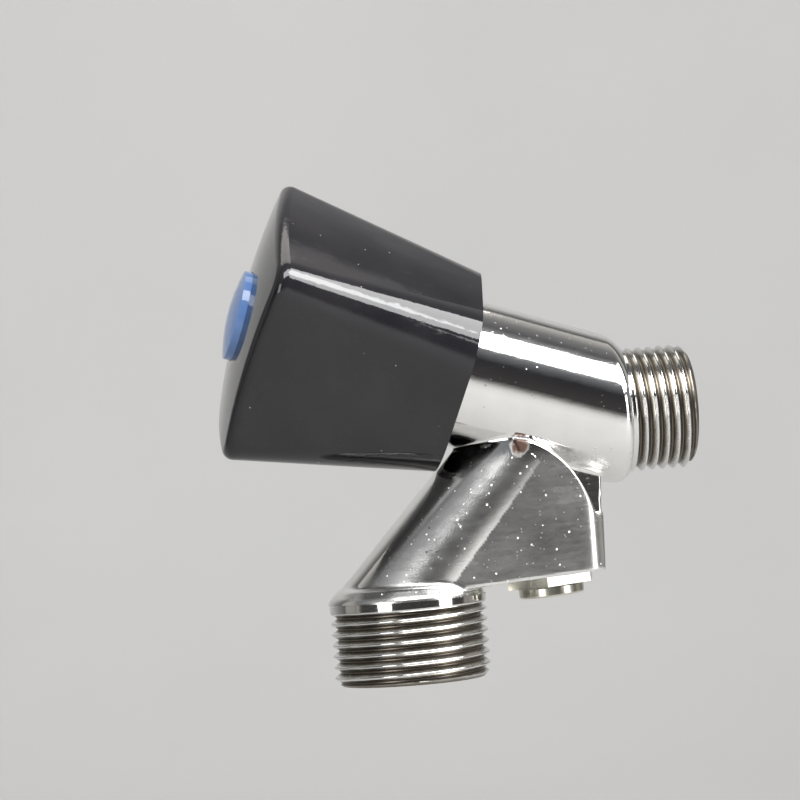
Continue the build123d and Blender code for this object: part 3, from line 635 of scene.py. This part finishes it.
MATERIALS = {
    "chromed_casting": casting_shader("chrome_casting"),
    "chromed_turned": turned_shader(
        "chrome_turned", (0.56, 0.545, 0.47), (0.27, 0.24, 0.18), 1600, 0.15, 0.004 * MM
    ),
    "brass": turned_shader("turned_brass", (0.76, 0.58, 0.28), (0.44, 0.29, 0.12), 1400, 0.20, 0.006 * MM),
    "black_plastic": gloss_plastic_shader(
        "black_plastic", (0.010, 0.010, 0.012), (0.017, 0.016, 0.018), (0.4, 0.4, 0.42)
    ),
    "blue_plastic": gloss_plastic_shader(
        "blue_plastic", (0.10, 0.19, 0.43), (0.13, 0.24, 0.50), (0.55, 0.62, 0.70)
    ),
    "black_rubber": matt_shader(
        "black_rubber", (0.018, 0.018, 0.018), (0.035, 0.034, 0.033), 1800, 0.5, 0.006 * MM
    ),
    "fibre": matt_shader("red_fibre", (0.36, 0.09, 0.06), (0.24, 0.05, 0.035), 2200, 0.55, 0.01 * MM),
    "white_plastic": matt_shader(
        "acetal", (0.86, 0.85, 0.81), (0.78, 0.76, 0.70), 1500, 0.32, 0.002 * MM, 0.15
    ),
    "spring_steel": steel_shader("spring_steel", (0.60, 0.60, 0.61), (0.38, 0.37, 0.36), 0.18),
    "zinc_steel": steel_shader("zinc_steel", (0.66, 0.67, 0.66), (0.45, 0.45, 0.41), 0.24),
}


def dress(piece, material):
    piece.data.materials.clear()
    piece.data.materials.append(material)


for subpart in frame["record"]["subparts"]:
    dress(nodes[subpart["node"]], MATERIALS[subpart["material_slot"]])

# --- The casting and its threads, in place of the CAD casting ---

margin = 2 * CELL
field_low = np.array([body_low.x, -OUTLET_R, OUTLET_SHOULDER_Z]) - margin
field_high = np.array([0, OUTLET_R, body_high.z]) + margin
casting_shell = field_mesh("casting_shell", casting, field_low, field_high)
inlet_thread = thread_piece(
    "inlet_thread_form", np.zeros(3), np.array([1.0, 0, 0]), INLET_END, INLET_R, INLET_BORE_R
)
outlet_thread = thread_piece(
    "outlet_thread_form",
    np.array([OUTLET_X, 0, OUTLET_SHOULDER_Z]),
    np.array([0, 0, -1.0]),
    OUTLET_SHOULDER_Z - OUTLET_END,
    OUTLET_R,
    OUTLET_BORE_R,
)
dress(casting_shell, MATERIALS["chromed_casting"])
dress(inlet_thread, thread_shader("inlet_thread_chrome", (0, 0, 0), (1, 0, 0), INLET_R))
dress(outlet_thread, thread_shader("outlet_thread_chrome", (OUTLET_X, 0, 0), (0, 0, 1), OUTLET_R))
for piece in (casting_shell, inlet_thread, outlet_thread):
    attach(piece, "casting")
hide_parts("valve_body")

# --- Stage: pale floor and sweep, soft lights, camera ---


def stage_sweep():
    """A pale floor that curves up into a wall behind the object."""
    floor_z, floor_front, wall_y, wall_top, bend, half_width, steps = -0.16, -1.6, 0.95, 1.3, 0.4, 1.8, 16
    profile = [(floor_front, floor_z)]
    for k in range(steps + 1):
        angle = math.pi / 2 * k / steps
        profile.append((wall_y - bend + bend * math.sin(angle), floor_z + bend * (1 - math.cos(angle))))
    profile.append((wall_y, wall_top))
    points = [(x, y, z) for y, z in profile for x in (-half_width, half_width)]
    faces = [(2 * k, 2 * k + 1, 2 * k + 3, 2 * k + 2) for k in range(len(profile) - 1)]
    sweep = smooth_object("pale_sweep", points, faces)
    shader = Shader("pale_paper", Roughness=0.85)
    cloud = shader.noise(6, 3)
    light_paper, dark_paper = (0.41, 0.407, 0.40), (0.39, 0.387, 0.38)
    shader.set("Base Color", shader.colour(cloud, (0.3, light_paper), (0.7, dark_paper)))
    shader.bump(shader.noise(900, 3), 0.02 * MM)
    dress(sweep, shader.material)


def softbox(name, azimuth, elevation, distance, width, height, power, tint=(1, 1, 1)):
    """An area light on a sphere round the object. Azimuth 0 is the viewer's side, positive to the right."""
    light = bpy.data.lights.new(name, "AREA")
    light.shape, light.size, light.size_y = "RECTANGLE", width, height
    light.energy, light.color = power, tint
    lamp = bpy.data.objects.new(name, light)
    bpy.context.scene.collection.objects.link(lamp)
    a, e = math.radians(azimuth), math.radians(elevation)
    away = Vector((math.sin(a) * math.cos(e), -math.cos(a) * math.cos(e), math.sin(e)))
    lamp.location = CENTRE + away * distance
    lamp.rotation_euler = away.to_track_quat("Z", "Y").to_euler()
    return lamp


def studio_world():
    """Soft surroundings: bright above, dark towards the viewer, pale below and behind."""
    world = bpy.data.worlds.new("studio")
    bpy.context.scene.world = world
    world.use_nodes = True
    tree = world.node_tree
    direction = tree.nodes.new("ShaderNodeTexCoord").outputs["Generated"]
    split = tree.nodes.new("ShaderNodeSeparateXYZ")
    tree.links.new(direction, split.inputs[0])
    flip = tree.nodes.new("ShaderNodeMath")
    flip.operation = "MULTIPLY"
    flip.inputs[1].default_value = -1
    tree.links.new(split.outputs["Y"], flip.inputs[0])
    angle = tree.nodes.new("ShaderNodeMath")
    angle.operation = "ARCTAN2"
    tree.links.new(split.outputs["Z"], angle.inputs[0])
    tree.links.new(flip.outputs[0], angle.inputs[1])
    share = tree.nodes.new("ShaderNodeMapRange")
    share.inputs[1].default_value = -math.pi
    share.inputs[2].default_value = math.pi
    tree.links.new(angle.outputs[0], share.inputs[0])
    ramp = tree.nodes.new("ShaderNodeValToRGB")
    tree.links.new(share.outputs[0], ramp.inputs["Fac"])
    stops = [
        (-180, (0.62, 0.60, 0.57)),
        (-100, (0.40, 0.38, 0.36)),
        (-35, (0.62, 0.58, 0.53)),
        (-16, (0.10, 0.09, 0.09)),
        (20, (0.045, 0.045, 0.05)),
        (38, (0.30, 0.31, 0.33)),
        (70, (0.42, 0.42, 0.43)),
        (84, (0.16, 0.16, 0.17)),
        (104, (0.34, 0.34, 0.34)),
        (122, (0.78, 0.76, 0.72)),
        (180, (0.62, 0.60, 0.57)),
    ]
    elements = ramp.color_ramp.elements
    while len(elements) < len(stops):
        elements.new(0.5)
    for element, (degrees, tint) in zip(elements, stops, strict=True):
        element.position = (degrees + 180) / 360
        element.color = (*tint, 1)
    background = tree.nodes["Background"]
    tree.links.new(ramp.outputs["Color"], background.inputs["Color"])
    background.inputs["Strength"].default_value = 0.7


CENTRE = Vector((-0.0376, 0, 0.0047))
VIEW_AZIMUTH, VIEW_ROLL, VIEW_DISTANCE = math.radians(-8), math.radians(4.5), 0.65
stage_sweep()
studio_world()
softbox("overhead_key", 18, 49, 0.75, 0.85, 0.34, 9)
softbox("left_strip", -42, 2, 0.75, 0.26, 0.42, 1.6)
softbox("right_strip", 49, 2, 0.75, 0.26, 0.42, 1.6)
softbox("right_high", 58, 38, 0.75, 0.5, 0.4, 6.5)
softbox("back_wash", 180, 70, 0.7, 0.7, 0.3, 1.2, (1, 0.97, 0.92))
wall_wash = softbox("wall_wash", 180, 55, 0.8, 1.4, 0.3, 5)
WALL_WASH_TILT = math.radians(62)
wall_wash.rotation_euler = (WALL_WASH_TILT, 0, 0)

lens = bpy.data.cameras.new("camera")
lens.lens, lens.sensor_width = 173.7, 36
lens.clip_start, lens.clip_end = 0.01, 20
camera = bpy.data.objects.new("camera", lens)
bpy.context.scene.collection.objects.link(camera)
towards = Vector((math.sin(VIEW_AZIMUTH), -math.cos(VIEW_AZIMUTH), 0))
camera.location = CENTRE + towards * VIEW_DISTANCE
upright = towards.to_track_quat("Z", "Y").to_matrix()
camera.rotation_euler = (upright @ Matrix.Rotation(-VIEW_ROLL, 3, "Z")).to_euler()
bpy.context.scene.camera = camera
bpy.context.scene.view_settings.view_transform = "Standard"
